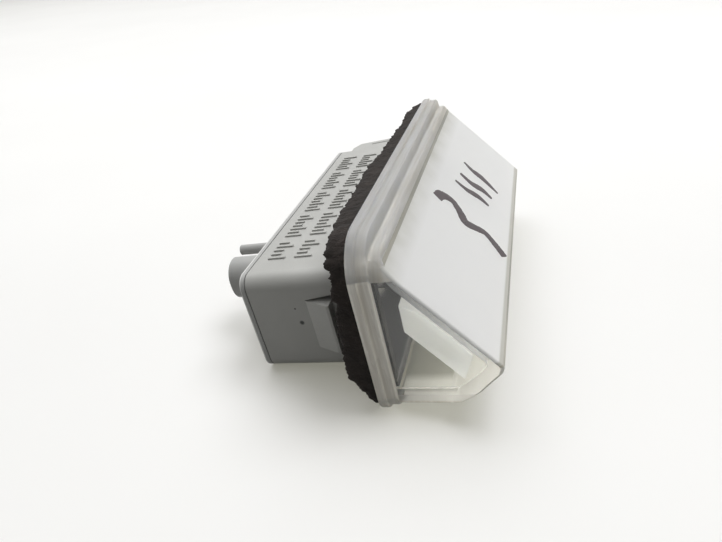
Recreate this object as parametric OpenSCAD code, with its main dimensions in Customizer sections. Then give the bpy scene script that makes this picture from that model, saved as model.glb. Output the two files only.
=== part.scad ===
// Number plate lamp: moulded housing with a rear cover, a clear wedge lens and a torn foam gasket.
// Frame: +X out through the lens, +Y along the lamp, +Z up, origin in the middle of the rim's back face.

/* [Lens rim] */
// Length of the rim along the lamp
rim_length = 84.5; // [78:0.5:100]
// Height of the rim
rim_height = 32.4; // [30:0.2:40]
// Thickness of the rim plate
rim_thickness = 3.3; // [2.6:0.1:4.5]
// Depth of the rear step of the rim, where the outline is widest
rim_step_depth = 1.5; // [0.8:0.1:2.2]
// Inset of the front step of the rim
rim_step_inset = 0.5; // [0.2:0.1:1]
// Corner radius at the keyed near top corner
rim_corner_key = 7.5; // [5:0.5:9]
// Corner radius at the far top corner
rim_corner_far = 4; // [2:0.5:6]
// Corner radius at the two bottom corners
rim_corner_bottom = 3.5; // [2:0.5:6]

/* [Lens body] */
// Wall of the lens
lens_wall = 2.2; // [1.6:0.1:2.6]
// Step from the rim's end down to the end wall
end_step = 0.95; // [0.4:0.05:2]
// Step from the rim's top down to the collar
collar_step = 2.7; // [2:0.1:4]
// Step from the rim's bottom up to the lens floor
foot_step = 1.6; // [0.8:0.1:3]
// Distance that the collar stands out from the rim's back face
collar_depth = 4.9; // [4:0.1:6.5]
// Fall of the groove between the collar and the window
groove_fall = 1.9; // [1:0.1:3]
// Run of the groove between the collar and the window
groove_run = 0.9; // [0.4:0.1:2]
// Distance that the lens stands out from the rim's back face
lens_depth = 21.5; // [18:0.5:30]
// Height of the window's lower edge over the lens floor
tip_rise = 7.7; // [6:0.1:10]
// Height of the blunt tip edge
tip_edge = 1.3; // [0.8:0.1:2]
// Run of the blunt tip edge
tip_lean = 0.4; // [0.1:0.1:1]
// Run of the chin under the tip
chin_run = 8.4; // [6:0.1:11]

/* [Diffuser] */
// Wall of the opal diffuser tray
diffuser_wall = 1.2; // [0.8:0.1:1.6]
// Gap between the window's inner face and the tray
diffuser_gap = 0.9; // [0.1:0.1:0.9]
// Gap between the tray and the lens end walls
diffuser_end_gap = 0.6; // [0.3:0.1:0.9]
// Distance from the window's upper edge out to the tray
diffuser_start = 0.6; // [0.4:0.1:3]
// Run of the tray's flatter upper end
diffuser_bend_run = 3.2; // [2:0.1:5]
// Rise of the tray's flatter upper end
diffuser_bend_rise = 1.8; // [1:0.1:2.2]
// Distance from the window's lower edge to the tray's face, along the window
diffuser_tip_gap = 3.9; // [3:0.1:6]
// Distance along the chin from its inner corner to the skirt's lower end
diffuser_foot_run = 1; // [0.4:0.1:3]
// Gap between the skirt's lower end and the chin
diffuser_foot_gap = 0.4; // [0.2:0.1:0.9]

/* [Housing] */
// Distance from each end of the rim to the housing
housing_end = 8.35; // [6:0.05:12]
// Distance from the rim's top down to the housing
housing_top = 8.7; // [7.5:0.1:9.5]
// Distance from the rim's bottom up to the housing
housing_foot = 3.7; // [3.2:0.1:4.5]
// Depth from the rim's back face to the outside of the rear cover
housing_depth = 23.7; // [22:0.1:30]
// Wall of the housing
housing_wall = 1.8; // [1.4:0.1:2.2]
// Radius of the housing's long edges
housing_edge = 2.6; // [1.5:0.1:4]
// Thickness of the flange behind the lens rim
flange_thickness = 1.6; // [1.2:0.1:2.2]
// Inset of the flange from the rim's outline
flange_inset = 2.6; // [2:0.1:3.5]
// Wall of the tongue that enters the lens
tongue_wall = 1.6; // [1.2:0.1:2]
// Distance that the tongue enters the lens
tongue_length = 3.4; // [2.5:0.1:4.5]
// Gap between the tongue and the lens, filled by the sealing bead
tongue_gap = 0.3; // [0.2:0.05:0.5]

/* [Snaps] */
// Height of the catch on the near end
catch_height = 10; // [8:0.5:12]
// Length of the catch's ramp
catch_ramp = 4.9; // [3:0.1:6]
// Distance that the catch stands out
catch_out = 2; // [1:0.1:3]
// Gap from the rim's back face to the catch face, for the gasket and the panel
catch_reach = 6.9; // [6:0.1:9]
// Height of the wedge-shaped slot over the catch, at its wide end
catch_slot = 1.3; // [0.6:0.1:1.6]
// Distance from the catch face to the slot's wide end
catch_slot_run = 2.6; // [1:0.1:2.8]
// Distance from the rim's back face to the rear end of the hook on the far end
hook_reach = 19.9; // [16:0.1:21]
// Run of the hook's steep rear face
hook_lean = 1.5; // [0.8:0.1:3]
// Height of the hook's steep rear face
hook_rise = 2.9; // [2:0.1:3.4]
// Distance that the hook stands out at its front
hook_out = 4.8; // [4:0.1:6]
// Thickness of the arm that the slot sets free
hook_arm = 1.7; // [1.2:0.1:1.9]
// Width of the slot behind the arm
hook_slot = 0.5; // [0.3:0.1:0.8]
// Distance from the rim's back face to the closed end of the slot
hook_slot_end = 15.2; // [12:0.1:17]

/* [Marks] */
// Height of the raised tally marks on the housing's top
mark_height = 0.3; // [0.15:0.05:0.5]
// Width of one tally mark
mark_width = 0.4; // [0.3:0.05:0.8]
// Length of a full tally mark
mark_length = 3.4; // [2:0.1:4.5]
// Spacing of the tally marks
mark_pitch = 1.5; // [1.2:0.1:3]
// Distance from the rim's back face to the middle of the rear row
mark_rear_row = 18.6; // [17:0.1:20]
// Distance from the rim's back face to the middle of the front row
mark_front_row = 13.3; // [10:0.1:14]
// Distance from the housing's ends to the rows
mark_margin = 7; // [4:0.5:12]

/* [Rear cover] */
// Thickness of the rear cover
cover_thickness = 0.9; // [0.8:0.1:2]
// Thickness of the rubber seal behind the cover
seal_thickness = 0.25; // [0.2:0.05:0.8]
// Distance that the seal's edge lies back from the outside
seal_inset = 0.15; // [0.1:0.05:0.5]
// Depth of the cover's spigot inside the housing
spigot_depth = 2.6; // [1.5:0.1:4]
// Wall of the spigot
spigot_wall = 1.4; // [1:0.1:2]
// Gap between the spigot and the housing
spigot_gap = 0.15; // [0.1:0.05:0.3]
// Diameter of the locating peg
peg_d = 2.2; // [1.8:0.1:3]
// Length of the locating peg
peg_length = 10.6; // [8:0.1:14]
// Distance along the lamp from the connector's middle to the peg
peg_from_shroud = 6.7; // [5.8:0.1:12]
// Height of the peg over the connector's middle
peg_rise = 2.9; // [-2:0.1:4]

/* [Connector] */
// Width of the connector shroud along the lamp
shroud_width = 7.6; // [7.2:0.1:8]
// Height of the connector shroud
shroud_height = 8.6; // [8.2:0.1:9.6]
// Wall of the connector shroud
shroud_wall = 0.9; // [0.7:0.1:1.1]
// Distance that the shroud stands out of the rear cover
shroud_out = 9.3; // [7:0.1:11]
// Distance that the socket reaches inside the rear cover
socket_in = 3.8; // [3:0.1:5]
// Distance along the lamp from the housing's near end to the connector's middle
shroud_from_end = 15; // [10:0.1:17]
// Height of the connector over the housing's middle
shroud_rise = 2.4; // [1:0.1:2.6]
// Thickness of the terminal strips
blade_thickness = 0.6; // [0.5:0.1:0.8]
// Width of the terminal blades
blade_width = 2.3; // [1.8:0.1:2.8]
// Spacing of the two terminal blades
blade_pitch = 2.8; // [2.4:0.1:3.4]
// Distance from the socket's mouth to the blade tips
blade_recess = 4.8; // [4.4:0.1:6]

/* [Bulb] */
// Diameter of the bulb
bulb_d = 10; // [9:0.1:10.4]
// Length of the bulb with its wedge base
bulb_length = 26.8; // [24:0.2:28]
// Wall of the bulb's glass
bulb_glass_wall = 0.7; // [0.5:0.1:1]
// Length of the wedge base
base_length = 8.5; // [8:0.1:9]
// Width of the wedge base
base_width = 9.5; // [9:0.1:9.8]
// Thickness of the wedge base
base_thickness = 2.5; // [2.2:0.1:2.8]
// Diameter of the lead wires
lead_d = 0.4; // [0.3:0.05:0.5]
// Spacing of the lead wires
lead_pitch = 5; // [4:0.1:6]
// Distance of the bulb's axis behind the rim's back face
bulb_back = 9.5; // [9:0.1:10]
// Share of the spare height in the housing by which the bulb lies over its middle
bulb_rise_share = 0.34; // [0:0.02:0.42]
// Distance along the lamp from the connector's middle to the end of the wedge base
base_from_shroud = 5.9; // [5:0.1:9]
// Wall of the bulb holder around its slot
holder_wall = 1.4; // [1.2:0.1:1.8]
// Gap between the holder's slot and the wedge base
base_gap = 0.15; // [0.1:0.05:0.2]
// Gap between the holder and the metal parts and the spigot
holder_gap = 0.2; // [0.15:0.05:0.3]
// Thickness of the contact springs
contact_thickness = 0.35; // [0.25:0.05:0.5]

/* [Gasket] */
// Thickness of the foam gasket behind the rim
foam_thickness = 4; // [3:0.1:5]
// Inset of the foam's outer edge from the rim's outline
foam_inset = 0.7; // [0.3:0.1:1.5]
// Roughness of the torn outer edge
foam_tear = 0.5; // [0.1:0.1:0.8]
// Distance that the torn flap at the near top corner hangs back
flap_back = 1; // [0.4:0.1:2]
// Gap between the foam and the housing
foam_gap = 0.3; // [0.2:0.1:0.6]
// Thickness of the gasket's adhesive film
film_thickness = 0.2; // [0.1:0.05:0.3]

/* [Hidden] */
$fn = 48;
over = 1;
slack = 0.02;

// Small features that keep their size
blade_taper = 0.8;
catch_crest = 0.5;
catch_slot_tip = 0.15;
mark_sink = 0.2;
rivet_r = 0.5;
rivet_head = 0.3;
rivet_back = 1.2;
spring_room = 1.6;
spring_foot = 4;
spring_edge = 1;
spring_bend = 0.1;
spring_touch = [3.1, 4.5];
spring_reach = 6.1;
holder_back = 3.4;
holder_short = 1.2;
bulb_neck = 0.62;
bulb_shoulder = 4;
lead_fold = 6.5;
wire_r = 0.09;

// Box of the rim's outline, as [low, high] in Y and Z
rim_low = [-rim_length / 2, -rim_height / 2];
rim_high = [rim_length / 2, rim_height / 2];
rim_radii = [rim_corner_far, rim_corner_key, rim_corner_bottom, rim_corner_bottom];

// Outer outline of the lens body, which the collar fills
body_low = rim_low + [end_step, foot_step];
body_high = rim_high - [end_step, collar_step];
body_radii = [1.5, rim_corner_key - collar_step, 1, 1];

// Section of the lens in X and Z, clockwise from the top, which runs past the body's outline
root = [collar_depth + groove_run, body_high.y - groove_fall];
tip = [lens_depth, body_low.y + tip_rise];
tip_low = tip - [tip_lean, tip_edge];
chin_bend = [0.51, 0.32];
chin_mid = [lens_depth - chin_run * chin_bend.x, body_low.y + tip_rise * chin_bend.y];
chin_end = [lens_depth - chin_run, body_low.y];
collar_out = [collar_depth - groove_run / groove_fall * over, body_high.y + over];
chin_out = chin_end + (chin_end - chin_mid) * (over / (chin_mid.y - chin_end.y));
lens_section = [[0, collar_out.y], collar_out, root, tip, tip_low, chin_mid, chin_out, [0, chin_out.y]];

// Section of the hollow inside the lens, without the blunt tip's corner
lens_inner = shrink([for (p = lens_section) if (p != tip_low) p], lens_wall);
chin_dir = (chin_mid - chin_end) / norm(chin_mid - chin_end);

// Direction of the window in X and Z, and the direction square to it, into the lamp
window_dir = (tip - root) / norm(tip - root);
window_in = [window_dir.y, -window_dir.x];
window_tan = -window_dir.y / window_dir.x;

// Inner outline of the lens, which the tongue enters
mouth_low = body_low + [lens_wall, lens_wall];
mouth_high = body_high - [lens_wall, lens_wall];
mouth_radii = [1, max(1, body_radii[1] - lens_wall), 0.8, 0.8];

// Box of the housing in Y and Z, and its middle height
box_low = rim_low + [housing_end, housing_foot];
box_high = rim_high - [housing_end, housing_top];
box_mid_z = (box_low.y + box_high.y) / 2;
box_radii = [housing_edge, housing_edge, housing_edge, housing_edge];
cavity_low = box_low + [housing_wall, housing_wall];
cavity_high = box_high - [housing_wall, housing_wall];
cavity_radii = [for (r = box_radii) max(0.5, r - housing_wall)];

// Planes behind the rim, in X
rear_x = -housing_depth;
cover_front_x = rear_x + cover_thickness;
body_back_x = cover_front_x + seal_thickness;
socket_floor_x = rear_x + socket_in;
mouth_x = rear_x - shroud_out;

// Places of the connector and the peg
shroud_y = box_low.x + shroud_from_end;
shroud_z = box_mid_z + shroud_rise;
peg_y = shroud_y + peg_from_shroud;
peg_z = shroud_z + peg_rise;

// Top of the catch, and the hook's outer face as a height over the housing's end at the place x
catch_top = box_mid_z + catch_height / 2;
hook_slope = (hook_out - hook_rise) / (hook_reach - hook_lean - catch_reach);
function hook_face(x) = box_high.x + hook_rise + (x + hook_reach - hook_lean) * hook_slope;

// Places of the bulb, its contacts and the terminal strips
bulb_x = -bulb_back;
bulb_z = box_mid_z + bulb_rise_share * (cavity_high.y - cavity_low.y - bulb_d) / 2;
base_y = shroud_y + base_from_shroud;
neck_y = base_y + base_length;
bulb_end_y = base_y + bulb_length;
filament_y = neck_y + (bulb_end_y - neck_y) * 0.42;
lead_hi_z = bulb_z + lead_pitch / 2;
lead_lo_z = bulb_z - lead_pitch / 2;
face_front_x = bulb_x + base_thickness / 2;
face_back_x = bulb_x - base_thickness / 2;
strip_front_x = face_front_x + lead_d + spring_room;
strip_back_x = face_back_x - lead_d - spring_room;
strip_end_y = base_y + spring_edge;
blade_tip_x = mouth_x + blade_recess;
blade_hi_y = shroud_y + blade_pitch / 2;
blade_lo_y = shroud_y - blade_pitch / 2;
rivet_y = base_y - rivet_back;
spring_low_z = lead_lo_z - spring_edge;
spring_high_z = lead_hi_z + spring_edge;
holder_low_y = base_y - holder_back;
holder_high_y = neck_y - holder_short;
holder_leg_y = max(holder_low_y, shroud_y + shroud_width / 2 + holder_gap);
film_x = -flange_thickness - film_thickness;

// Outline of the torn foam flap, from the rim's near top corner
flap = [[1.2, -6.4], [1.0, -4.4], [2.6, -2.4], [6.0, -0.9], [10.4, -0.8], [8.6, -2.6], [4.8, -3.4],
        [3.6, -5.2], [2.4, -4.8]];

// Colours of the materials
grey_plastic = [0.60, 0.61, 0.60];
clear_plastic = [0.88, 0.90, 0.86, 0.45];
opal_plastic = [0.95, 0.95, 0.92];
foam_black = [0.10, 0.09, 0.08];
brass_metal = [0.78, 0.66, 0.38];

// Turns a drawing of Y and Z into a solid that runs along X from x0 to x1
module along_x(x0, x1) {
  translate([x0, 0, 0]) rotate([90, 0, 90]) linear_extrude(x1 - x0) children();
}

// Turns a drawing of X and Z into a solid that runs along Y from y0 to y1
module along_y(y0, y1) {
  translate([0, y1, 0]) rotate([90, 0, 0]) linear_extrude(y1 - y0) children();
}

// Takes the sharp tip off one corner of an outline
module corner_cut(p, side, r) {
  c = p - [side.x * r, side.y * r];
  difference() {
    translate([side.x > 0 ? c.x : p.x - over, side.y > 0 ? c.y : p.y - over]) square(r + over);
    translate(c) circle(r);
  }
}

// Rectangle with its own radius at each corner: high Y top, low Y top, low Y bottom, high Y bottom
module outline(low, high, radii, inset = 0) {
  a = low + [inset, inset];
  b = high - [inset, inset];
  r = [for (v = radii) max(0.3, v - inset)];
  difference() {
    translate(a) square(b - a);
    corner_cut([b.x, b.y], [1, 1], r[0]);
    corner_cut([a.x, b.y], [-1, 1], r[1]);
    corner_cut([a.x, a.y], [-1, -1], r[2]);
    corner_cut([b.x, a.y], [1, -1], r[3]);
  }
}

// Round-ended outline that stands upright, centred on the connector
module oval(width, height) {
  translate([shroud_y, shroud_z]) {
    square([width, height - width], center = true);
    for (s = [-1, 1]) translate([0, s * (height - width) / 2]) circle(width / 2);
  }
}

// Moves each edge of a clockwise convex polygon inwards by d and returns the new corners
function edge_in(a, b, d) = let (t = (b - a) / norm(b - a)) [t.y * d, -t.x * d];
function meet(a, u, b, v) = a + u * ((b - a).x * v.y - (b - a).y * v.x) / (u.x * v.y - u.y * v.x);
function shrink(p, d) = [for (i = [0:len(p) - 1])
  let (a = p[(i + len(p) - 1) % len(p)], b = p[i], c = p[(i + 1) % len(p)])
  meet(a + edge_in(a, b, d), b - a, b + edge_in(b, c, d), c - b)];

// Clear moulding: stepped rim, collar and wedge, hollow and open at the back
module lens() {
  color(clear_plastic) difference() {
    union() {
      along_x(0, rim_step_depth) outline(rim_low, rim_high, rim_radii);
      along_x(0, rim_thickness) outline(rim_low, rim_high, rim_radii, rim_step_inset);
      intersection() {
        along_y(body_low.x - over, body_high.x + over) polygon(lens_section);
        along_x(0, lens_depth + over) outline(body_low, body_high, body_radii);
      }
    }
    intersection() {
      along_y(mouth_low.x - over, mouth_high.x + over)
        polygon([for (p = lens_inner) p.x < lens_wall + slack ? [-over - slack, p.y] : p]);
      along_x(-over, lens_depth) outline(mouth_low, mouth_high, mouth_radii);
    }
  }
}

// Opal tray that sits under the window and opens towards the lens floor
module diffuser() {
  d0 = lens_wall + diffuser_gap;
  x0 = root.x + diffuser_start;
  a = tip - window_dir * diffuser_tip_gap + window_in * d0;
  b = lens_inner[4] - chin_dir * diffuser_foot_run + [-chin_dir.y, chin_dir.x] * diffuser_foot_gap;
  c = [x0, b.y + (b.x - x0) * window_tan];
  run = diffuser_start + diffuser_bend_run;
  m = [root.x + run, root.y - run * window_tan - d0 / window_dir.x];
  d = m + [-diffuser_bend_run, diffuser_bend_rise];
  cut = shrink([d, m, a, b, c], diffuser_wall);
  drop = diffuser_wall * 2;
  y0 = mouth_low.x + diffuser_end_gap;
  y1 = mouth_high.x - diffuser_end_gap;
  color(opal_plastic) difference() {
    along_y(y0, y1) polygon([d, m, a, b, c]);
    along_y(y0 + diffuser_wall, y1 - diffuser_wall) polygon([cut[0], cut[1], cut[2],
      cut[3] + window_in * drop, cut[4] - [0, drop / window_dir.x]]);
  }
}

// Bead of sealant between the tongue and the lens
module lens_sealant() {
  color([0.85, 0.85, 0.80]) along_x(0, tongue_length * 0.6) difference() {
    outline(mouth_low, mouth_high, mouth_radii);
    outline(mouth_low, mouth_high, mouth_radii, tongue_gap);
  }
}

// Two rows of plain raised tally marks on the top of the housing
module tally_marks() {
  low_y = box_low.x + mark_margin;
  count = floor((box_high.x - mark_margin - low_y) / mark_pitch);
  shares = [1, 0.6, 0.6, 1, 0.6, 0, 1, 0.7];
  for (row = [mark_rear_row, mark_front_row], i = [0:count]) {
    share = shares[i % len(shares)];
    if (share > 0) translate([-row - mark_length / 2, low_y + i * mark_pitch, box_high.y - mark_sink])
      cube([mark_length * share, mark_width, mark_height + mark_sink]);
  }
}

// Catch on the near end: a ramp with a flat crest
module catch_ramp() {
  y = box_low.x;
  translate([0, 0, catch_top - catch_height]) linear_extrude(catch_height) polygon([
    [-catch_reach - catch_ramp, y + slack], [-catch_reach, y + slack],
    [-catch_reach, y - catch_out], [-catch_reach - catch_crest, y - catch_out]]);
}

// Wedge-shaped slot in the end wall over the catch
module catch_slot_cut() {
  x0 = -catch_reach - catch_ramp;
  x1 = -catch_reach + catch_slot_run;
  along_y(box_low.x - over, box_low.x + housing_wall + over) polygon([
    [x0, catch_top], [x1, catch_top], [x1, catch_top + catch_slot], [x0, catch_top + catch_slot_tip]]);
}

// Hook on the far end, flush with the housing's top, with a thin slot that sets its outer arm free
module hook() {
  inner_y = box_high.x - housing_edge;
  arm_x = [-hook_slot_end, -catch_reach + over];
  difference() {
    translate([0, 0, box_low.y + housing_edge]) linear_extrude(box_high.y - box_low.y - housing_edge)
      polygon([[-hook_reach, inner_y], [-catch_reach, inner_y], [-catch_reach, hook_face(-catch_reach)],
               [-hook_reach + hook_lean, hook_face(-hook_reach + hook_lean)], [-hook_reach, box_high.x]]);
    translate([0, 0, box_low.y]) linear_extrude(box_high.y - box_low.y + over) polygon([
      [arm_x[0], hook_face(arm_x[0]) - hook_arm - hook_slot], [arm_x[1], hook_face(arm_x[1]) - hook_arm
      - hook_slot], [arm_x[1], hook_face(arm_x[1]) - hook_arm], [arm_x[0], hook_face(arm_x[0]) - hook_arm]]);
  }
}

// Grey tub with its flange, its tongue, the catch and the hook
module housing() {
  color(grey_plastic) difference() {
    union() {
      along_x(body_back_x, 0) outline(box_low, box_high, box_radii);
      along_x(-flange_thickness, 0) outline(rim_low, rim_high, rim_radii, flange_inset);
      along_x(-flange_thickness, tongue_length)
        outline(mouth_low, mouth_high, mouth_radii, tongue_gap);
      catch_ramp();
      hook();
      tally_marks();
    }
    along_x(body_back_x - over, over) outline(cavity_low, cavity_high, cavity_radii);
    along_x(0, tongue_length + over)
      outline(mouth_low, mouth_high, mouth_radii, tongue_gap + tongue_wall);
    catch_slot_cut();
  }
}

// Rubber seal in the joint between the housing and the rear cover
module cover_seal() {
  color([0.18, 0.18, 0.18]) along_x(cover_front_x, body_back_x) difference() {
    outline(box_low, box_high, box_radii, seal_inset);
    outline(cavity_low, cavity_high, cavity_radii);
  }
}

// Grey cover with the connector shroud, the locating peg and a spigot
module rear_cover() {
  color(grey_plastic * 0.97) difference() {
    union() {
      along_x(rear_x, cover_front_x) outline(box_low, box_high, box_radii);
      along_x(rear_x, cover_front_x + seal_thickness + spigot_depth) difference() {
        outline(cavity_low, cavity_high, cavity_radii, spigot_gap);
        outline(cavity_low, cavity_high, cavity_radii, spigot_gap + spigot_wall);
      }
      along_x(mouth_x, cover_front_x) oval(shroud_width, shroud_height);
      along_x(rear_x, socket_floor_x + shroud_wall) intersection() {
        oval(shroud_width, shroud_height);
        outline(cavity_low, cavity_high, cavity_radii, spigot_gap);
      }
      translate([rear_x - peg_length, peg_y, peg_z]) rotate([0, 90, 0])
        cylinder(d = peg_d, h = peg_length + slack);
    }
    along_x(mouth_x - over, socket_floor_x)
      oval(shroud_width - 2 * shroud_wall, shroud_height - 2 * shroud_wall);
    for (y = [blade_lo_y, blade_hi_y]) blade_hole(y);
  }
}

// Slot in the socket floor for one blade
module blade_hole(y) {
  translate([socket_floor_x - over, y - blade_thickness / 2 - slack, shroud_z - blade_width / 2 - slack])
    cube([shroud_wall + 2 * over, blade_thickness + 2 * slack, blade_width + 2 * slack]);
}

// Stamped strip: a blade at the place y that turns along the lamp at the place x
module terminal(y, x) {
  t = blade_thickness;
  color(brass_metal) difference() {
    translate([0, 0, shroud_z - blade_width / 2]) linear_extrude(blade_width) polygon([
      [blade_tip_x, y - t / 4], [blade_tip_x + blade_taper, y - t / 2], [x + t / 2, y - t / 2],
      [x + t / 2, strip_end_y], [x - t / 2, strip_end_y], [x - t / 2, y + t / 2],
      [blade_tip_x + blade_taper, y + t / 2], [blade_tip_x, y + t / 4]]);
    rivet_hole(x);
  }
}

// Hole for a rivet, through what lies near the place x
module rivet_hole(x) {
  translate([x - over, rivet_y, shroud_z]) rotate([0, 90, 0]) cylinder(r = rivet_r + slack, h = 2 * over);
}

module terminal_positive() terminal(blade_lo_y, strip_front_x + blade_thickness / 2);
module terminal_negative() terminal(blade_hi_y, strip_back_x - blade_thickness / 2);

// Leaf spring from a strip's inner face to a lead wire on the wedge base
module contact(strip_x, wire_x, z0, z1) {
  s = sign(wire_x - strip_x);
  t = s * contact_thickness;
  touch = wire_x - s * slack;
  foot = [strip_end_y - spring_foot, strip_end_y - spring_edge / 2];
  near = base_y + spring_touch[0];
  far = base_y + spring_touch[1];
  free = base_y + spring_reach;
  b = spring_bend;
  color([0.80, 0.70, 0.46]) difference() {
    translate([0, 0, z0]) linear_extrude(z1 - z0) polygon([
      [strip_x, foot[0]], [strip_x, foot[1] + b], [touch - t, near + b], [touch - t, far - b],
      [strip_x, free - b], [strip_x + t, free + b], [touch, far + b], [touch, near - b],
      [strip_x + t, foot[1] - b], [strip_x + t, foot[0]]]);
    rivet_hole(strip_x);
  }
}

module contact_positive() contact(strip_front_x, face_front_x + lead_d,
                                  shroud_z - blade_width / 2, spring_high_z);
module contact_negative() contact(strip_back_x, face_back_x - lead_d,
                                  spring_low_z, shroud_z + blade_width / 2);

// Rivet through a strip and its spring
module rivet(x0, x1) {
  color([0.72, 0.72, 0.70]) translate([0, rivet_y, shroud_z]) rotate([0, 90, 0]) {
    translate([0, 0, x0]) cylinder(r = rivet_r, h = x1 - x0);
    translate([0, 0, x0 - rivet_head]) cylinder(r = rivet_r * 1.7, h = rivet_head);
    translate([0, 0, x1]) cylinder(r = rivet_r * 1.7, h = rivet_head);
  }
}

module rivet_positive() rivet(strip_front_x - contact_thickness, strip_front_x + blade_thickness);
module rivet_negative() rivet(strip_back_x - blade_thickness, strip_back_x + contact_thickness);

// Pale holder on the rear cover, which grips the wedge base and houses the contacts
module bulb_holder() {
  room = rivet_head + holder_gap;
  back = strip_back_x - blade_thickness - room;
  front = strip_front_x + blade_thickness + room;
  low_z = max(bulb_z - base_width / 2 - holder_wall, cavity_low.y + holder_gap);
  high_z = min(bulb_z + base_width / 2 + holder_wall, cavity_high.y - holder_gap);
  leg_low_z = max(low_z, cavity_low.y + spigot_gap + spigot_wall + holder_gap);
  leg_high_z = min(high_z, cavity_high.y - spigot_gap - spigot_wall - holder_gap);
  blade_low_z = shroud_z - blade_width / 2;
  blade_high_z = shroud_z + blade_width / 2;
  depth = holder_high_y - holder_low_y;
  slot = base_thickness + 2 * base_gap;
  color([0.86, 0.85, 0.80]) difference() {
    union() {
      translate([back - holder_wall, holder_low_y, low_z])
        cube([front - back + 2 * holder_wall, depth, high_z - low_z]);
      translate([cover_front_x, holder_leg_y, leg_low_z])
        cube([back - holder_wall / 2 - cover_front_x, holder_high_y - holder_leg_y, leg_high_z - leg_low_z]);
    }
    translate([bulb_x - slot / 2, base_y - spring_edge / 2, bulb_z - base_width / 2 - base_gap])
      cube([slot, base_length + over, base_width + 2 * base_gap]);
    translate([bulb_x, holder_low_y - over, blade_low_z - holder_gap])
      cube([front - bulb_x, depth + 2 * over, spring_high_z - blade_low_z + 2 * holder_gap]);
    translate([back, holder_low_y - over, spring_low_z - holder_gap])
      cube([bulb_x - back, depth + 2 * over, blade_high_z - spring_low_z + 2 * holder_gap]);
  }
}

// Puts a shape that is drawn along Z onto the bulb's axis, where Z becomes Y
module at_bulb() translate([bulb_x, 0, bulb_z]) rotate([-90, 0, 0]) children();

// Bulb envelope of the radius r, from its neck to its dome
module envelope(r, inset) {
  top_y = neck_y + bulb_shoulder;
  translate([0, 0, neck_y + inset]) cylinder(r1 = r * bulb_neck, r2 = r, h = bulb_shoulder - inset);
  translate([0, 0, top_y - slack]) cylinder(r = r, h = bulb_end_y - top_y - r - inset + slack);
  translate([0, 0, bulb_end_y - r - inset]) sphere(r);
}

module bulb_glass() {
  r = bulb_d / 2;
  color([0.92, 0.95, 0.96, 0.35]) difference() {
    union() {
      at_bulb() envelope(r, 0);
      translate([bulb_x - base_thickness / 2, base_y, bulb_z - base_width / 2])
        cube([base_thickness, base_length, base_width]);
      at_bulb() translate([0, 0, neck_y - over / 2]) cylinder(r = r * bulb_neck, h = over);
    }
    at_bulb() envelope(r - bulb_glass_wall, bulb_glass_wall);
    for (z = [lead_lo_z, lead_hi_z]) translate([bulb_x, base_y - over, z]) rotate([-90, 0, 0])
      cylinder(d = lead_d + 2 * slack, h = base_length + 2 * over);
  }
}

// Coil of tungsten wire between the lead wires, as close rings on a core
module bulb_filament() {
  rings = 14;
  core = 0.22;
  span = lead_pitch - lead_d;
  color([0.45, 0.45, 0.46]) translate([bulb_x, filament_y, bulb_z - span / 2]) {
    cylinder(r = core, h = span, $fn = 20);
    for (i = [0:rings - 1]) translate([0, 0, span * (i + 0.5) / rings])
      rotate_extrude($fn = 20) translate([core + wire_r * 2 / 3, 0]) circle(r = wire_r, $fn = 13);
  }
}

// Lead wire: from the filament through the base, then folded back along one face of it
module lead_wire(z, side) {
  $fn = 18;
  r = lead_d / 2;
  end_y = base_y - r - slack;
  face_x = bulb_x + side * (base_thickness / 2 + r);
  color([0.66, 0.64, 0.60]) {
    translate([bulb_x, end_y, z]) rotate([-90, 0, 0]) cylinder(r = r, h = filament_y - end_y + r);
    translate([bulb_x, end_y, z]) sphere(r);
    translate([bulb_x, end_y, z]) rotate([0, side * 90, 0]) cylinder(r = r, h = base_thickness / 2 + r);
    translate([face_x, end_y, z]) sphere(r);
    translate([face_x, end_y, z]) rotate([-90, 0, 0]) cylinder(r = r, h = lead_fold);
  }
}

module lead_wire_upper() lead_wire(lead_hi_z, 1);
module lead_wire_lower() lead_wire(lead_lo_z, -1);

// Corner points of a loop round the rim with a ragged inset: each entry is a point and its inward way
function side_run(a, b, n, way) = [for (i = [0:n - 1]) [a + (b - a) * i / n, way]];
function corner_run(c, r, from, n) = [for (i = [0:n]) let (t = from + 90 * i / n, u = [cos(t), sin(t)])
  [c + r * u, -u]];
function rim_loop(d) = let (a = rim_low + [d, d], b = rim_high - [d, d], r = [for (v = rim_radii) v - d])
  concat(side_run([b.x, a.y + r[3]], [b.x, b.y - r[0]], 8, [-1, 0]),
         corner_run([b.x - r[0], b.y - r[0]], r[0], 0, 4),
         side_run([b.x - r[0] - over, b.y], [a.x + r[1], b.y], 34, [0, -1]),
         corner_run([a.x + r[1], b.y - r[1]], r[1], 90, 5),
         side_run([a.x, b.y - r[1] - over], [a.x, a.y + r[2]], 8, [1, 0]),
         corner_run([a.x + r[2], a.y + r[2]], r[2], 180, 4),
         side_run([a.x + r[2] + over, a.y], [b.x - r[3], a.y], 34, [0, 1]),
         corner_run([b.x - r[3], a.y + r[3]], r[3], 270, 4));

// Opening of the gasket and its film, round the housing
module seat_opening(gap) {
  outline(box_low - [gap, gap], box_high + [gap, gap], box_radii);
}

// Die-cut foam ring with a torn outer edge and a torn flap at the near top corner
module foam_gasket() {
  loop = rim_loop(foam_inset);
  chance = rands(0, 1, len(loop), 7);
  corner = [rim_low.x, rim_high.y];
  color(foam_black) difference() {
    union() {
      along_x(-foam_thickness, 0)
        polygon([for (i = [0:len(loop) - 1]) loop[i][0] + loop[i][1] * foam_tear * chance[i]]);
      along_x(-foam_thickness - flap_back, -foam_thickness + over)
        polygon([for (p = flap) corner + p]);
    }
    along_x(-foam_thickness - flap_back - over, over) seat_opening(foam_gap);
    along_x(film_x, over) outline(rim_low, rim_high, rim_radii, flange_inset - slack);
  }
}

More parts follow.
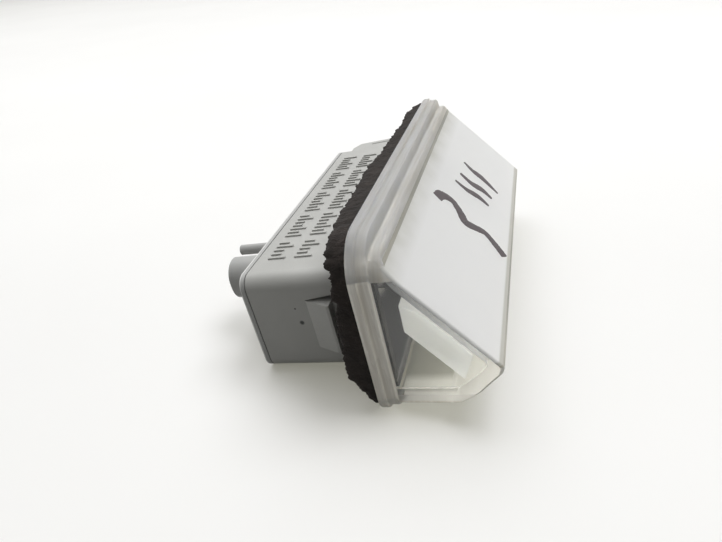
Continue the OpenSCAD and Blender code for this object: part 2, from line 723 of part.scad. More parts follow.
// Adhesive film that holds the foam to the flange
module gasket_film() {
  color([0.80, 0.78, 0.70]) along_x(film_x, -flange_thickness) difference() {
    outline(rim_low, rim_high, rim_radii, flange_inset);
    seat_opening(foam_gap / 2);
  }
}

housing();
rear_cover();
cover_seal();
lens();
lens_sealant();
diffuser();
foam_gasket();
gasket_film();
bulb_holder();
terminal_positive();
terminal_negative();
contact_positive();
contact_negative();
rivet_positive();
rivet_negative();
bulb_glass();
bulb_filament();
lead_wire_upper();
lead_wire_lower();
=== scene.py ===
import math

import bmesh
import bpy
from mathutils import Matrix, Vector, noise


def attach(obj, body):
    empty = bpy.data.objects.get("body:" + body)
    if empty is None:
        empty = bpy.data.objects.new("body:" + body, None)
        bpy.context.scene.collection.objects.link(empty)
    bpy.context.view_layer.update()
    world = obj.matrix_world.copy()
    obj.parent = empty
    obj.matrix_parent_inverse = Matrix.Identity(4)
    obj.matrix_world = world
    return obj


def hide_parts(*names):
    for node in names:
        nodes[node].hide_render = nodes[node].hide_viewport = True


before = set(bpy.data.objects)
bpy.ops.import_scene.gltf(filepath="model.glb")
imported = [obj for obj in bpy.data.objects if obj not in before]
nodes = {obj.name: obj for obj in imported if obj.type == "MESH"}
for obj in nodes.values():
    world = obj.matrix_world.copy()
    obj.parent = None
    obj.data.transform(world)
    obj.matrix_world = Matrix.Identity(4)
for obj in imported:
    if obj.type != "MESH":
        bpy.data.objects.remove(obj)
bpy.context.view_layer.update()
MM = 0.001

# The photograph's width and the fitted focal length in pixels, and the camera's sensor in mm
IMAGE_WIDTH = 722
FOCAL_PIXELS = 582.9
SENSOR_WIDTH = 36.0


# Camera at the photograph's place: position in mm, and its right, down and forward directions
def set_camera():
    right = Vector((0.9442, 0.2440, -0.2213))
    down = Vector((-0.0686, -0.5114, -0.8566))
    ahead = Vector((-0.3222, 0.8240, -0.4661))
    place = Vector((30.4, -112.4, 52.1)) * MM
    turn = Matrix((right, -down, -ahead)).transposed()
    cam = bpy.data.objects.new("camera", bpy.data.cameras.new("camera"))
    bpy.context.scene.collection.objects.link(cam)
    cam.data.sensor_width = SENSOR_WIDTH
    cam.data.lens = FOCAL_PIXELS / IMAGE_WIDTH * SENSOR_WIDTH
    cam.data.clip_start = MM
    cam.matrix_world = Matrix.Translation(place) @ turn.to_4x4()
    bpy.context.scene.camera = cam


# Node tree helpers, most of which return the output socket of the node that they make
def new_material(name):
    m = bpy.data.materials.new(name)
    m.use_nodes = True
    m.node_tree.nodes.clear()
    return m, m.node_tree


def node(nt, kind, links=None, **values):
    n = nt.nodes.new(kind)
    for key, value in values.items():
        if key in n.inputs:
            n.inputs[key].default_value = value
        else:
            setattr(n, key, value)
    for socket, source in (links or {}).items():
        nt.links.new(source, n.inputs[socket])
    return n


def sockets(n, **values):
    for key, value in values.items():
        n.inputs[key.replace("_", " ")].default_value = value


def ramp(nt, source, stops):
    n = node(nt, "ShaderNodeValToRGB", {"Fac": source})
    elements = n.color_ramp.elements
    while len(elements) < len(stops):
        elements.new(0.5)
    for item, (place, colour) in zip(elements, stops):
        item.position = place
        item.color = (*colour, 1)
    return n.outputs[0]


# Stops of a ramp between two grey levels, for roughness
def span(low, high):
    return [(0.3, (low, low, low)), (0.7, (high, high, high))]


def coords(nt, scale=(1, 1, 1)):
    pos = node(nt, "ShaderNodeTexCoord")
    return node(nt, "ShaderNodeMapping", {"Vector": pos.outputs["Object"]}, Scale=scale).outputs[0]


def axes_of(nt, where):
    return node(nt, "ShaderNodeSeparateXYZ", {"Vector": where}).outputs


def noise_of(nt, where, scale, detail=3.0, rough=0.5):
    n = node(nt, "ShaderNodeTexNoise", {"Vector": where}, Scale=scale, Detail=detail, Roughness=rough)
    return n.outputs["Fac"]


def bump(nt, height, distance, strength):
    n = node(nt, "ShaderNodeBump", {"Height": height}, Distance=distance, Strength=strength)
    return n.outputs[0]


def combine(nt, operation, first, *others):
    for other in others:
        first = node(nt, "ShaderNodeMath", {0: first, 1: other}, operation=operation).outputs[0]
    return first


# From 0 at one place in mm to 1 at another
def fade(nt, value, start, end):
    n = node(nt, "ShaderNodeMapRange", {"Value": value})
    sockets(n, From_Min=start * MM, From_Max=end * MM)
    return n.outputs[0]


# 1 where a coordinate lies between two places in mm, else 0
def between(nt, value, low, high):
    n = node(nt, "ShaderNodeMath", {0: value}, operation="COMPARE")
    n.inputs[1].default_value = (low + high) / 2 * MM
    n.inputs[2].default_value = (high - low) / 2 * MM
    return n.outputs[0]


# 1 inside a box that gives the range of some axes in mm, else 0
def within(nt, axes, box):
    return combine(nt, "MULTIPLY", *(between(nt, axes[axis], *ends) for axis, ends in box.items()))


# Mixes a flat colour over another, by a share from 0 to 1
def tinted(nt, base, share, colour):
    mix = node(nt, "ShaderNodeMix", {"Factor": share}, data_type="RGBA")
    nt.links.new(base, mix.inputs["A"])
    mix.inputs["B"].default_value = colour
    return mix.outputs["Result"]


def principled(nt, links, **values):
    p = node(nt, "ShaderNodeBsdfPrincipled", links)
    sockets(p, **values)
    return p.outputs[0]


def output(nt, shader):
    node(nt, "ShaderNodeOutputMaterial", {"Surface": shader})


# Share of a speck's radius over which its edge fades
SPECK_EDGE = 0.3


# Worn specks at measured places in mm, each with its radius, as a share from 0 to 1
def specks_at(nt, where, spots):
    marks = []
    for place, size in spots:
        away = node(nt, "ShaderNodeVectorMath", {0: where}, operation="DISTANCE")
        away.inputs[1].default_value = [v * MM for v in place]
        marks.append(fade(nt, away.outputs["Value"], size * (1 + SPECK_EDGE), size * (1 - SPECK_EDGE)))
    return combine(nt, "MAXIMUM", *marks)


# Where the moulded plastic changes its tone, as ranges in mm: painted shade makes the housing's front and
# the tub's hollow, seen through the lens, dark, and painted highlights make the tongue's lower edge and
# the cover's edge pale
HOUSING_FRONT_SHADE = {"X": (-1.7, 5.0)}
TUB_HOLLOW_SHADE = {"X": (-22.5, 0.5), "Y": (-32.3, 32.3), "Z": (-10.8, 5.8)}
TONGUE_EDGE_HIGHLIGHT = {"X": (3.1, 3.5), "Z": (-10.8, -10.3)}
COVER_EDGE_HIGHLIGHT = {"X": (-23.68, -23.46)}


# Grey moulded plastic: fine spark-eroded grain, faint flow marks, handling dirt and dark worn specks, and
# the painted shade and painted highlights above
def moulded(name, light, dark, spots=()):
    m, nt = new_material(name)
    where = coords(nt)
    tone = ramp(nt, noise_of(nt, where, 90, 4, 0.6), [(0.25, dark), (0.75, light)])
    specks = noise_of(nt, where, 1500, 2, 0.6)
    darkening = ramp(nt, specks, [(0.72, (1, 1, 1)), (0.8, (0.72, 0.70, 0.66))])
    mix = node(nt, "ShaderNodeMix", data_type="RGBA", blend_type="MULTIPLY")
    mix.inputs["Factor"].default_value = 0.7
    nt.links.new(tone, mix.inputs["A"])
    nt.links.new(darkening, mix.inputs["B"])
    colour = mix.outputs["Result"]
    if spots:
        colour = tinted(nt, colour, specks_at(nt, where, spots), (0.02, 0.02, 0.02, 1))
    axes = axes_of(nt, where)
    # Painted shade: the housing's front and the tub's hollow, seen through the lens, are made near black
    inside = combine(nt, "MAXIMUM", within(nt, axes, HOUSING_FRONT_SHADE), within(nt, axes, TUB_HOLLOW_SHADE))
    colour = tinted(nt, colour, inside, (0.03, 0.03, 0.032, 1))
    # Painted highlight: a lighter line along the tongue's lower edge
    colour = tinted(nt, colour, within(nt, axes, TONGUE_EDGE_HIGHLIGHT), (0.16, 0.16, 0.15, 1))
    # Painted highlight: a pale band along the cover's rear edge
    colour = tinted(nt, colour, within(nt, axes, COVER_EDGE_HIGHLIGHT), (0.72, 0.72, 0.70, 1))
    shine = ramp(nt, noise_of(nt, where, 260, 3), span(0.44, 0.58))
    grain = bump(nt, noise_of(nt, where, 5200, 2, 0.5), 0.00004, 0.5)
    output(nt, principled(nt, {"Base Color": colour, "Roughness": shine, "Normal": grain}, IOR=1.47))
    return m


LENS_IOR = 1.49
SCATTER_SCALE = 0.006


# Lets the light of lamps pass a plastic with a tint
def lamp_light_passes(nt, shader, tint):
    through = node(nt, "ShaderNodeBsdfTransparent", Color=(*tint, 1))
    path = node(nt, "ShaderNodeLightPath").outputs
    links = {0: path["Is Shadow Ray"], 1: shader, 2: through.outputs[0]}
    return node(nt, "ShaderNodeMixShader", links).outputs[0]


# Clear plastic or glass with a tint, rubbed in patches
def clear_plastic(name, tint, rough, wear=0.1):
    m, nt = new_material(name)
    where = coords(nt)
    rub = noise_of(nt, where, 240, 5, 0.65)
    shine = ramp(nt, rub, [(0.45, (rough,) * 3), (0.75, (rough + wear,) * 3)])
    wave = bump(nt, noise_of(nt, where, 160, 2, 0.4), 0.00003, 0.6)
    shader = principled(nt, {"Roughness": shine, "Normal": wave}, IOR=LENS_IOR, Base_Color=(*tint, 1),
                        Transmission_Weight=1.0)
    output(nt, lamp_light_passes(nt, shader, [0.5 + v / 2 for v in tint]))
    return m


# Hazy plastic: the clear moulding where it is thick or rubbed, so that it scatters light. Its streaks
# run along the rim. A painted shade (axis, start, end, colour) fades its tone to a colour between two
# places.
def hazy(name, light, dark, through, rough, passes, deep=1.0, painted_shade=None):
    m, nt = new_material(name)
    where = coords(nt)
    streaks = noise_of(nt, coords(nt, (1, 0.05, 0.05)), 900, 3, 0.5)
    tone = ramp(nt, streaks, [(0.35, dark), (0.65, light)])
    if painted_shade:
        axis, start, end, colour = painted_shade
        tone = tinted(nt, tone, fade(nt, axes_of(nt, where)[axis], start, end), colour)
    shine = ramp(nt, noise_of(nt, coords(nt, (1, 0.3, 0.3)), 300, 3, 0.5), span(*rough))
    wave = bump(nt, noise_of(nt, where, 220, 2, 0.4), 0.00003, 0.5)
    shader = principled(nt, {"Base Color": tone, "Roughness": shine, "Normal": wave}, IOR=LENS_IOR,
                        Transmission_Weight=through, Subsurface_Weight=deep,
                        Subsurface_Radius=(1.0, 0.95, 0.85), Subsurface_Scale=SCATTER_SCALE)
    output(nt, lamp_light_passes(nt, shader, passes))
    return m


# Heights in mm between which the window grows darker and browner in patches towards its root, and between
# which a painted shade darkens its tip
ROOT_DARKENING = (8.6, 11.8)
TIP_SHADE_HEIGHTS = (-5.8, -6.1)


# Frosted window: etched outer face that scatters light, with soft cloudy variation
def frosted(name):
    m, nt = new_material(name)
    where = coords(nt)
    z = axes_of(nt, where)["Z"]
    cloud = noise_of(nt, where, 45, 3, 0.5)
    colour = ramp(nt, cloud, [(0.3, (0.94, 0.94, 0.935)), (0.7, (1.0, 1.0, 0.99))])
    # Darker and browner in patches towards the window's root
    darkening = combine(nt, "MULTIPLY", fade(nt, z, *ROOT_DARKENING), noise_of(nt, where, 130, 3))
    colour = tinted(nt, colour, darkening, (0.48, 0.47, 0.38, 1))
    # Painted shade: a darker band along the window's rounded tip
    colour = tinted(nt, colour, fade(nt, z, *TIP_SHADE_HEIGHTS), (0.62, 0.61, 0.56, 1))
    shine = ramp(nt, noise_of(nt, where, 180, 4, 0.6), span(0.36, 0.5))
    etch = bump(nt, noise_of(nt, where, 4200, 3, 0.6), 0.00004, 0.5)
    shader = principled(nt, {"Base Color": colour, "Roughness": shine, "Normal": etch}, IOR=LENS_IOR,
                        Transmission_Weight=0.2)
    output(nt, lamp_light_passes(nt, shader, (0.85, 0.85, 0.845)))
    return m


# Opal plastic: light that falls on the tray spreads inside its walls, and its front is paler
def opal_plastic(name):
    m, nt = new_material(name)
    where = coords(nt)
    front = fade(nt, axes_of(nt, where)["X"], 6.4, 15.0)
    share = combine(nt, "MULTIPLY", front, noise_of(nt, where, 200, 3))
    tone = ramp(nt, share, [(0.0, (0.90, 0.90, 0.88)), (0.5, (0.97, 0.97, 0.96))])
    shine = ramp(nt, noise_of(nt, where, 500, 3), span(0.85, 0.95))
    grain = bump(nt, noise_of(nt, where, 900, 3), 0.00002, 0.4)
    shader = principled(nt, {"Base Color": tone, "Roughness": shine, "Normal": grain}, IOR=1.5,
                        Transmission_Weight=0.62, Subsurface_Weight=0.5,
                        Subsurface_Radius=(1.0, 1.0, 0.9), Subsurface_Scale=SCATTER_SCALE)
    output(nt, lamp_light_passes(nt, shader, (0.85, 0.85, 0.84)))
    return m


# Any other finish: a tone that varies by a share, a varying gloss and a fine grain
def plain(name, colour, rough, metal=0.0, vary=0.12):
    m, nt = new_material(name)
    where = coords(nt)
    low = tuple(v * (1 - vary) for v in colour)
    tone = ramp(nt, noise_of(nt, where, 300, 4, 0.6), [(0.3, low), (0.7, colour)])
    shine = ramp(nt, noise_of(nt, where, 500, 3), span(rough * 0.85, min(1.0, rough * 1.2)))
    grain = bump(nt, noise_of(nt, where, 900, 3), 0.00003, 0.5)
    output(nt, principled(nt, {"Base Color": tone, "Roughness": shine, "Normal": grain}, Metallic=metal))
    return m


# Torn open-cell foam: cells over coarser lumps, brown-black with paler broken walls
def foam_material(name):
    m, nt = new_material(name)
    where = coords(nt)
    cells = node(nt, "ShaderNodeTexVoronoi", {"Vector": where}, Scale=1900.0, feature="DISTANCE_TO_EDGE")
    lumps = noise_of(nt, where, 420, 5, 0.7)
    tone = ramp(nt, lumps, [(0.3, (0.011, 0.009, 0.008)), (0.62, (0.028, 0.022, 0.019)),
                            (0.8, (0.062, 0.050, 0.042))])
    height = combine(nt, "ADD", lumps, cells.outputs["Distance"])
    shader = principled(nt, {"Base Color": tone, "Normal": bump(nt, height, 0.0002, 0.8)}, Roughness=0.95,
                        Sheen_Weight=0.04, Sheen_Roughness=0.6, Specular_IOR_Level=0.25)
    output(nt, shader)
    return m


# A mesh from points in mm. Faces of the material index flat aren't smoothed.
def mesh_piece(name, verts, faces, materials, indices=None, flat=None):
    mesh = bpy.data.meshes.new(name)
    mesh.from_pydata([tuple(c * MM for c in v) for v in verts], [], faces)
    for m in materials:
        mesh.materials.append(m)
    if indices:
        mesh.polygons.foreach_set("material_index", indices)
    mesh.update()
    bm = bmesh.new()
    bm.from_mesh(mesh)
    bmesh.ops.recalc_face_normals(bm, faces=bm.faces)
    bm.to_mesh(mesh)
    bm.free()
    smooth = [i != flat for i in indices] if indices else [True] * len(faces)
    mesh.polygons.foreach_set("use_smooth", smooth)
    obj = bpy.data.objects.new(name, mesh)
    bpy.context.scene.collection.objects.link(obj)
    return obj


# Sizes of the lens in mm, as in the part's source. Outlines are (y, z) with four corner radii, profiles
# are (x, z) from the top down.
RIM_LOW, RIM_HIGH = (-42.25, -16.2), (42.25, 16.2)
RIM_R = (4.0, 7.5, 3.5, 3.5)
BODY_LOW, BODY_HIGH = (-41.3, -14.6), (41.3, 13.5)
BODY_R = (1.5, 4.8, 1.0, 1.0)
MOUTH_LOW, MOUTH_HIGH = (-39.1, -12.4), (39.1, 11.3)
MOUTH_R = (1.0, 2.6, 0.8, 0.8)
ROOT, TIP = (5.8, 11.6), (21.5, -6.9)
OUTER = [(4.6, 13.5), (4.82, 13.42), (4.95, 13.2), (5.8, 11.6), (21.2, -6.55), (21.42, -6.9),
         (21.42, -7.3), (21.1, -8.2), (17.4, -11.95), (16.9, -12.3), (13.5, -14.35), (13.1, -14.52),
         (12.7, -14.6)]
INNER = [(3.2, 11.3), (3.45, 11.2), (3.94, 10.4), (18.3, -6.5), (18.7, -7.2), (18.6, -7.7),
         (15.9, -10.3), (15.5, -10.6), (12.9, -12.2), (12.2, -12.4)]
# From the front's edge back: the foot of the side walls, then the stepped rim, as (x, inset)
WALL_STEPS = [(3.55, 0.0), (3.3, -0.22)]
RIM_STEPS = [(3.3, 0.72), (3.22, 0.57), (3.05, 0.5), (1.62, 0.5), (1.5, 0.42), (1.5, 0.1), (1.42, 0.02),
             (1.3, 0.0), (0.2, 0.0), (0.06, 0.06), (0.0, 0.2)]


# Centres of a rounded rectangle's corners: far top, near top, near foot, far foot
def corner_centres(low, high, r):
    return ((high[0] - r[0], high[1] - r[0]), (low[0] + r[1], high[1] - r[1]),
            (low[0] + r[2], low[1] + r[2]), (high[0] - r[3], low[1] + r[3]))


# A point of a rounded rectangle, by corner and angle or by side and share of its length
def rim_point(key, low, high, r):
    c = corner_centres(low, high, r)
    kind, where, t = key
    if kind == "arc":
        return (c[where][0] + r[where] * math.cos(t), c[where][1] + r[where] * math.sin(t))
    if where == "near":
        return (low[0], c[2][1] + t * (c[1][1] - c[2][1]))
    if where == "far":
        return (high[0], c[3][1] + t * (c[0][1] - c[3][1]))
    if where == "top":
        return (c[1][0] + t * (c[0][0] - c[1][0]), high[1])
    return (c[2][0] + t * (c[3][0] - c[2][0]), low[1])


# Both ends of the outline at the height z, each as (y, key)
def row_ends(z, low, high, r):
    c = corner_centres(low, high, r)
    ends = []
    for near in (True, False):
        top, foot = (1, 2) if near else (0, 3)
        side = low[0] if near else high[0]
        s = -1 if near else 1
        if z > c[top][1]:
            a = math.asin(min(1, (z - c[top][1]) / r[top]))
            y = c[top][0] + s * r[top] * math.cos(a)
            ends.append((y, ("arc", top, math.pi - a if near else a)))
        elif z < c[foot][1]:
            a = math.asin(max(-1, (z - c[foot][1]) / r[foot]))
            y = c[foot][0] + s * r[foot] * math.cos(a)
            ends.append((y, ("arc", foot, math.pi - a if near else a)))
        else:
            t = (z - c[foot][1]) / (c[top][1] - c[foot][1])
            ends.append((side, ("side", "near" if near else "far", t)))
    return ends


# The place along X of a profile at the height z
def profile_x(profile, z):
    for (x0, z0), (x1, z1) in zip(profile, profile[1:]):
        if z1 <= z <= z0:
            return x0 + (x1 - x0) * ((z0 - z) / (z0 - z1) if z0 > z1 else 0)
    return profile[0][0] if z > profile[0][1] else profile[-1][0]


# Rows of a grid, rows on each corner of the outline, and the least distance of two measured rows in mm
ROWS = 64
CORNER_ROWS = 8
CLOSEST_ROWS = 0.04
# Columns of a grid: places across a rounded end, scaled to its ridge, and how many lie between the ends
EDGE_STEPS = (0.0, 0.04, 0.14, 0.3, 0.5, 0.76, 1.06, 1.4, 1.8, 2.3)
MIDDLE = 26
# Rounding of the end ridges in mm, outside and in the hollow, and the sink along X for 1 mm of it
RIDGE, HOLLOW_RIDGE = 0.5, 0.12
SINK_ALONG_X = 1.33


# Heights from top to foot: the outline's corners, the profile's corners, and an even fill
def heights(profile, low, high, r):
    marks = {high[1], low[1]}
    for radius, top in ((r[0], True), (r[1], True), (r[2], False)):
        for i in range(1, CORNER_ROWS + 1):
            drop = radius * (1 - math.sin(math.radians(90 - 90 / CORNER_ROWS * i)))
            marks.add(high[1] - drop if top else low[1] + drop)
    marks |= {p[1] for p in profile}
    fill = sorted(marks, reverse=True)
    rows = [fill[0]]
    for z in fill[1:]:
        if rows[-1] - z > CLOSEST_ROWS:
            rows.append(z)
    rows[-1] = low[1]
    while len(rows) < ROWS:
        gaps = [(rows[i] - rows[i + 1], i) for i in range(len(rows) - 1)]
        _, i = max(gaps)
        rows.insert(i + 1, (rows[i] + rows[i + 1]) / 2)
    return rows


# Front of a wedge as a grid: a profile over an outline, with its end ridges rounded. Returns the grid's
# points, the places of its boundary in order, and their keys for rim_point.
def front_grid(profile, low, high, r, ridge):
    steps = [d * ridge / EDGE_STEPS[-1] for d in EDGE_STEPS]
    grid, ends = [], []
    for z in heights(profile, low, high, r):
        (y0, k0), (y1, k1) = row_ends(z, low, high, r)
        ends.append((k0, k1))
        x = profile_x(profile, z)
        gap = y1 - y0 - 2 * ridge
        ys = [(y0 + d, d) for d in steps]
        ys += [(y0 + ridge + gap * i / (MIDDLE + 1), ridge) for i in range(1, MIDDLE + 1)]
        ys += [(y1 - d, d) for d in reversed(steps)]
        line = []
        for y, d in ys:
            sink = ridge - math.sqrt(max(0.0, ridge ** 2 - (ridge - d) ** 2))
            line.append((x - sink * SINK_ALONG_X, y, z))
        grid.append(line)
    cols = len(grid[0])
    order = [(0, j) for j in range(cols)] + [(i, cols - 1) for i in range(1, ROWS)]
    order += [(ROWS - 1, j) for j in range(cols - 2, -1, -1)] + [(i, 0) for i in range(ROWS - 2, 0, -1)]
    keys = []
    for i, j in order:
        if j == 0:
            keys.append(ends[i][0])
        elif j == cols - 1:
            keys.append(ends[i][1])
        else:
            keys.append(("side", "top" if i == 0 else "foot", j / (cols - 1)))
    return grid, order, keys


# The lens's materials by index, and which sides of its walls and rim differ from the haze elsewhere
CLEAR, FROST, BACK, HAZE, DARK_BAND, SOFT, UNDER, CHIN, NEAR, FOOT = range(10)
WALL_PARTS = {"near": CLEAR, "far": CLEAR, "foot": FOOT, "floor edge": SOFT}
RIM_PARTS = {"near": NEAR, "floor edge": NEAR}
# Heights in mm that part the zones: the top of the groove's dark band, where the haze above the window
# ends, the top of the window's tip band of painted shade and the window's end, and the end of the
# hollow's sloping face
GROOVE_TOP, HAZE_END, TIP_SHADE_TOP, WINDOW_END, UNDER_END = 12.3, 10.6, -6.2, -7.1, -7.3
# Tolerance of heights and least radius of a corner, in mm
CLOSE = 0.01
LEAST_RADIUS = 0.3


# The clear lens as one closed mesh: wedge front, side walls, stepped rim, back face and hollow
def build_lens(materials):
    grid, order, keys = front_grid(OUTER, BODY_LOW, BODY_HIGH, BODY_R, RIDGE)
    inside, inside_order, _ = front_grid(INNER, MOUTH_LOW, MOUTH_HIGH, MOUTH_R, HOLLOW_RIDGE)
    verts, faces, mats = [], [], []

    # Adds a grid's points and faces, and returns its boundary
    def add_grid(g, order, hollow):
        start = len(verts)
        for line in g:
            verts.extend(line)
        cols = len(g[0])
        for i in range(len(g) - 1):
            for j in range(cols - 1):
                a = start + i * cols + j
                quad = (a, a + 1, a + cols + 1, a + cols)
                faces.append(quad[::-1] if hollow else quad)
                high, low = g[i][j][2], g[i + 1][j][2]
                end = min(j, cols - 2 - j) < len(EDGE_STEPS) - 1
                if hollow:
                    mats.append(UNDER if low > UNDER_END else SOFT)
                elif high <= ROOT[1] + CLOSE and low >= WINDOW_END:
                    # Rows at the window's rounded tip take the dark band, as a painted shade
                    mats.append(FROST if high > TIP_SHADE_TOP else DARK_BAND)
                # Rows in the groove above the window, off its rounded ends, take the dark band
                elif ROOT[1] < high < GROOVE_TOP and not end:
                    mats.append(DARK_BAND)
                else:
                    mats.append(CHIN if low < HAZE_END else HAZE)
        return [start + i * cols + j for i, j in order]

    def add_loop(points):
        start = len(verts)
        verts.extend(points)
        return list(range(start, start + len(points)))

    def outline_loop(x, low, high, r, inset):
        a = (low[0] + inset, low[1] + inset)
        b = (high[0] - inset, high[1] - inset)
        rr = tuple(max(LEAST_RADIUS, v - inset) for v in r)
        return add_loop([(x, *rim_point(k, a, b, rr)) for k in keys])

    def bridge(a, b, index, parts=None):
        n = len(a)
        for i in range(n):
            j = (i + 1) % n
            faces.append((a[i], b[i], b[j], a[j]))
            part = keys[i][1]
            lowest = min(verts[a[i]][2], verts[a[j]][2])
            if part in ("near", "far") and lowest < MOUTH_LOW[1] - CLOSE:
                part = "floor edge"
            mats.append((parts or {}).get(part, index))

    outlines = [(x, BODY_LOW, BODY_HIGH, BODY_R, inset) for x, inset in WALL_STEPS]
    outlines += [(x, RIM_LOW, RIM_HIGH, RIM_R, inset) for x, inset in RIM_STEPS]
    loop = add_grid(grid, order, False)
    parts = WALL_PARTS
    for outline in outlines:
        following = outline_loop(*outline)
        bridge(loop, following, HAZE, parts)
        loop = following
        parts = RIM_PARTS
    hollow = add_grid(inside, inside_order, True)
    mouth = add_loop([(0.0, verts[v][1], verts[v][2]) for v in hollow])
    bridge(loop, mouth, BACK)
    bridge(mouth, hollow, CLEAR)
    return mesh_piece("lens_moulding", verts, faces, materials, mats, CLEAR)


# Measured places of the foam's torn back edge in mm: at its top and foot (y, x), at its near end (z, x)
FOAM_TOP = [(-38.4, -3.5), (-33.4, -3.5), (-25.5, -4.2), (-17.1, -4.0), (-6.2, -4.6), (2.4, -3.6),
            (13.5, -3.3), (23.8, -2.8), (31.5, -3.2), (38.0, -1.6), (40.1, -0.9)]
FOAM_FOOT = [(-41.5, -1.0), (-38.0, -1.7), (-33.0, -3.0), (-26.0, -3.6)]
FOAM_NEAR = [(14.4, -3.3), (12.3, -3.9), (11.2, -2.6), (9.0, -2.9), (2.0, -3.6), (-4.0, -4.2),
             (-8.8, -4.6), (-10.4, -3.2), (-13.7, -1.2)]
# The ring in mm: its inset from the rim, its seat just behind the film, and its width beside the flange
FOAM_INSET = 0.75
SEAT_X = -1.85
LIP = 1.95
# The hole around the housing in (y, z), and where its near corners start
HOLE_LOW, HOLE_HIGH = (-34.2, -12.2), (39.8, 7.8)
HOLE_CORNER = -34
# Step between sections in mm, the length of a quarter of a circle of radius 1, and the steps of a
# section on its outer side and on its back face
SECTION_STEP = 0.2
QUARTER = 1.57
SIDE_STEPS, BACK_STEPS = 9, 14
# Part of a direction from which a place counts as on the top or on the near end
MAINLY = 0.7
# Places along X in mm: the range of the torn edge, the back face's mean plane and its deepest point
TORN_RANGE = (-4.9, -0.5)
BACK_PLANE = -3.95
BACK_DEEPEST = -4.6
# Heights in mm of the torn edge's rags and fibres, the side's waves and fuzz, and the back's dents
RAGS, FIBRES, WAVES, FUZZ, DENTS = 0.55, 0.28, 0.17, 0.07, 0.34
# How the side draws in from a share of its depth on, and the range of all its unevenness in mm
DRAW_FROM, DRAW_RATE = 0.75, 0.9
SIDE_RANGE = (-1.6, 0.7)
# How fast the back face reaches its plane and its dents their height, from the torn edge in
PLANE_RATE, DENT_RATE = 1.6, 4


def clamp(value, low, high):
    return max(low, min(high, value))


# The value at a place in a table of (place, value), between its rows by their share
def along(table, t):
    rising = sorted(table)
    if t <= rising[0][0]:
        return rising[0][1]
    for (a, va), (b, vb) in zip(rising, rising[1:]):
        if t <= b:
            return va + (vb - va) * (t - a) / (b - a)
    return rising[-1][1]


# The torn foam ring: its back edge follows the measured places, with rough torn sides between them
def build_foam(material):
    low = (RIM_LOW[0] + FOAM_INSET, RIM_LOW[1] + FOAM_INSET)
    high = (RIM_HIGH[0] - FOAM_INSET, RIM_HIGH[1] - FOAM_INSET)
    r = tuple(v - FOAM_INSET for v in RIM_R)
    c = corner_centres(low, high, r)
    path = []

    def side(a, b, way):
        run = (b[0] - a[0], b[1] - a[1])
        n = int(max(abs(run[0]), abs(run[1])) / SECTION_STEP)
        path.extend([((a[0] + run[0] * i / n, a[1] + run[1] * i / n), way) for i in range(n)])

    def arc(k, start):
        n = int(r[k] * QUARTER / SECTION_STEP)
        for i in range(n):
            t = math.radians(start + 90 * i / n)
            u = (math.cos(t), math.sin(t))
            path.append(((c[k][0] + r[k] * u[0], c[k][1] + r[k] * u[1]), u))

    side((high[0], c[3][1]), (high[0], c[0][1]), (1, 0))
    arc(0, 0)
    side((c[0][0], high[1]), (c[1][0], high[1]), (0, 1))
    arc(1, 90)
    side((low[0], c[1][1]), (low[0], c[2][1]), (-1, 0))
    arc(2, 180)
    side((c[2][0], low[1]), (c[3][0], low[1]), (0, -1))
    arc(3, 270)
    verts, faces = [], []
    for (y, z), (uy, uz) in path:
        if uz > MAINLY:
            back = along(FOAM_TOP, y)
        elif uy < -MAINLY:
            back = along(FOAM_NEAR, z)
        else:
            back = along(FOAM_FOOT, y)
        rag = noise.fractal(Vector((y * 0.9, z * 0.9, 3.1)), 0.8, 2.1, 4) * RAGS
        rag += noise.noise(Vector((y * 3.1, z * 3.1, 8.0))) * FIBRES
        back = clamp(back + rag, *TORN_RANGE)
        # The outer side from the rim to the torn edge, with lumps and an edge that draws in
        row = []
        for k in range(SIDE_STEPS + 1):
            f = k / SIDE_STEPS
            x = back * f
            wave = noise.fractal(Vector((x * 0.9, y * 0.6, z * 0.6)), 0.9, 2.0, 3)
            fuzz = noise.noise(Vector((x * 1.9, y * 1.9, z * 1.9)))
            drawn = DRAW_RATE * max(0.0, f - DRAW_FROM)
            out = clamp(WAVES * wave + FUZZ * fuzz - drawn, *SIDE_RANGE)
            row.append((x, y + uy * out, z + uz * out))
        # The dented back face in to the hole, then the hole's wall up to the seat and the seat itself
        edge = row[-1]
        if uz == 0:
            hole = (HOLE_LOW[0] if uy < 0 else HOLE_HIGH[0], clamp(z, HOLE_LOW[1], HOLE_HIGH[1]))
        else:
            hole = (HOLE_LOW[0] if y < HOLE_CORNER else min(y, HOLE_HIGH[0]),
                    HOLE_HIGH[1] if z > 0 else HOLE_LOW[1])
        for k in range(1, BACK_STEPS + 1):
            f = k / BACK_STEPS
            yy = edge[1] + (hole[0] - edge[1]) * f
            zz = edge[2] + (hole[1] - edge[2]) * f
            dent = noise.fractal(Vector((yy * 0.55, zz * 0.55, 5.0)), 0.8, 2.1, 5) * DENTS
            flat = edge[0] + (BACK_PLANE - edge[0]) * min(1.0, PLANE_RATE * f)
            row.append((max(BACK_DEEPEST, flat + dent * min(1.0, DENT_RATE * f)), yy, zz))
        row.append((SEAT_X, hole[0], hole[1]))
        row.append((SEAT_X, y - uy * LIP, z - uz * LIP))
        verts.extend(row)
    n = len(path)
    section = len(verts) // n
    for i in range(n):
        for k in range(section):
            following = (k + 1) % section
            a, b = i * section, (i + 1) % n * section
            faces.append((a + k, a + following, b + following, b + k))
    return mesh_piece("foam_ring", verts, faces, [material])


